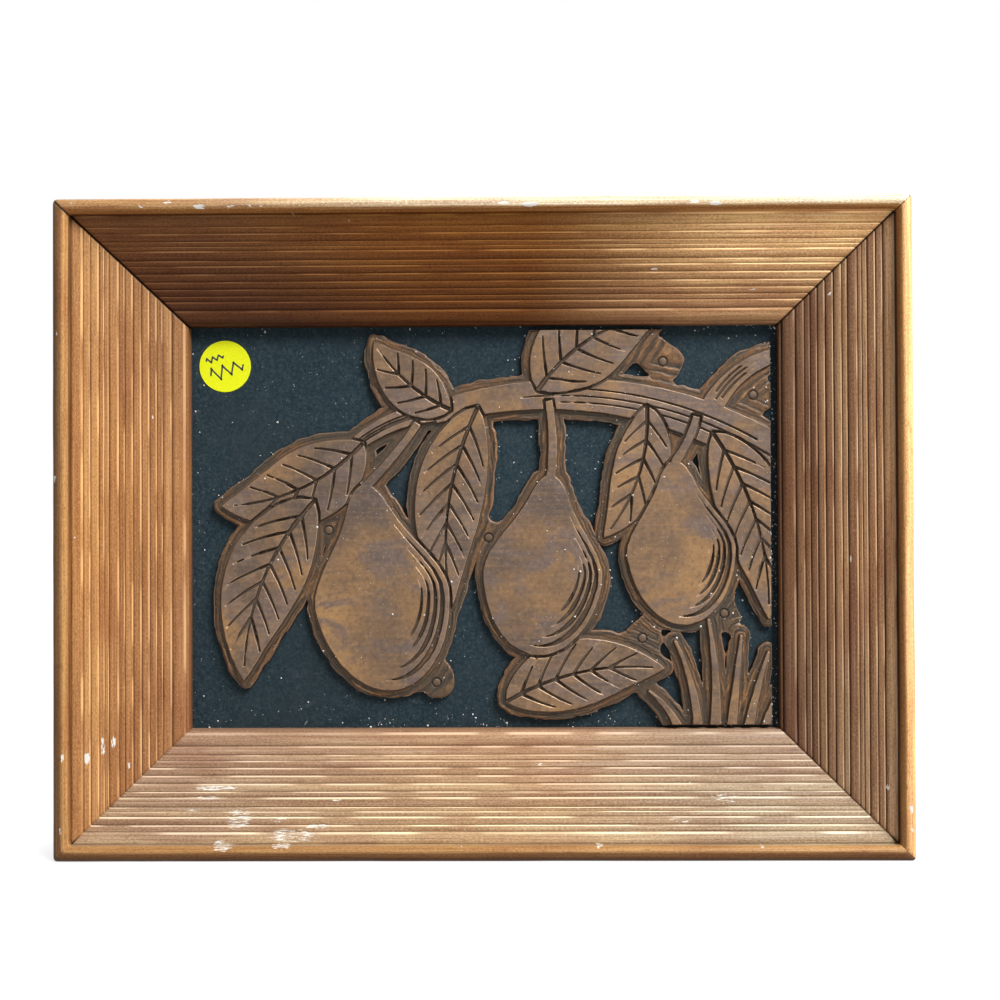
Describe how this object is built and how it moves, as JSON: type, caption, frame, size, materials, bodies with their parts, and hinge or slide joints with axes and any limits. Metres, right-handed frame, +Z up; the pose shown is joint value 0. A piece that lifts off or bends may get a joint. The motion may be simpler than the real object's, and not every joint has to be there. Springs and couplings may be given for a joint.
{
  "type": "framed copper relief printing plate",
  "caption": "Copper relief printing plate nailed to a painted block in a reeded, mitred wood frame, with turn buttons and a sawtooth hanger behind.",
  "frame": {"origin": "point on the wall side of the top rail where the sawtooth hanger bears on its wall nail", "axes": "+X right as seen from the front, +Y out of the back towards the wall, +Z up; the plate faces -Y"},
  "size_m": [0.298, 0.0415, 0.23],
  "materials": {
    "frame_wood": "stained and varnished softwood, worn",
    "copper": "tarnished brown copper with brighter rubbed tops",
    "nail_steel": "browned nail heads",
    "painted_block": "matt blue-black paint on wood",
    "card": "plain grey-brown card",
    "hardboard": "tempered hardboard, screen side out",
    "label_paper": "fluorescent yellow paper dot",
    "plated_steel": "zinc-plated stamped steel",
    "screw_steel": "zinc-plated slotted screws",
    "hanger_steel": "brassed steel strip",
    "bare_steel": "bare steel strip",
    "pad_rubber": "dark rubber"
  },
  "bodies": {
    "frame": {"rail_top": "frame_wood", "rail_bottom": "frame_wood", "rail_left": "frame_wood", "rail_right": "frame_wood", "corner_nails_top_left": "bare_steel", "corner_nails_top_right": "bare_steel", "corner_nails_bottom_left": "bare_steel", "corner_nails_bottom_right": "bare_steel", "copper_plate": "copper", "plate_nails": "nail_steel", "mount_block": "painted_block", "filler_card": "card", "backboard": "hardboard", "round_label": "label_paper", "turn_button_screws": "screw_steel", "sawtooth_hanger": "hanger_steel", "hanger_nails": "hanger_steel", "wall_pad_left": "pad_rubber", "wall_pad_right": "pad_rubber"},
    "button_top_left": {"turn_button_top_left": "plated_steel"},
    "button_top_right": {"turn_button_top_right": "plated_steel"},
    "button_bottom_left": {"turn_button_bottom_left": "plated_steel"},
    "button_bottom_right": {"turn_button_bottom_right": "plated_steel"},
    "button_left": {"turn_button_left": "plated_steel"},
    "button_right": {"turn_button_right": "plated_steel"}
  },
  "joints": [
    {"name": "swivel_top_left", "type": "hinge", "parent": "frame", "child": "button_top_left", "pos_m": [-0.062, 0.0007, -0.008], "axis": [0, 1, 0], "continuous": true},
    {"name": "swivel_top_right", "type": "hinge", "parent": "frame", "child": "button_top_right", "pos_m": [0.062, 0.0007, -0.008], "axis": [0, 1, 0], "continuous": true},
    {"name": "swivel_bottom_left", "type": "hinge", "parent": "frame", "child": "button_bottom_left", "pos_m": [-0.062, 0.0007, -0.186], "axis": [0, 1, 0], "continuous": true},
    {"name": "swivel_bottom_right", "type": "hinge", "parent": "frame", "child": "button_bottom_right", "pos_m": [0.062, 0.0007, -0.186], "axis": [0, 1, 0], "continuous": true},
    {"name": "swivel_left", "type": "hinge", "parent": "frame", "child": "button_left", "pos_m": [-0.123, 0.0007, -0.097], "axis": [0, 1, 0], "continuous": true},
    {"name": "swivel_right", "type": "hinge", "parent": "frame", "child": "button_right", "pos_m": [0.123, 0.0007, -0.097], "axis": [0, 1, 0], "continuous": true}
  ]
}
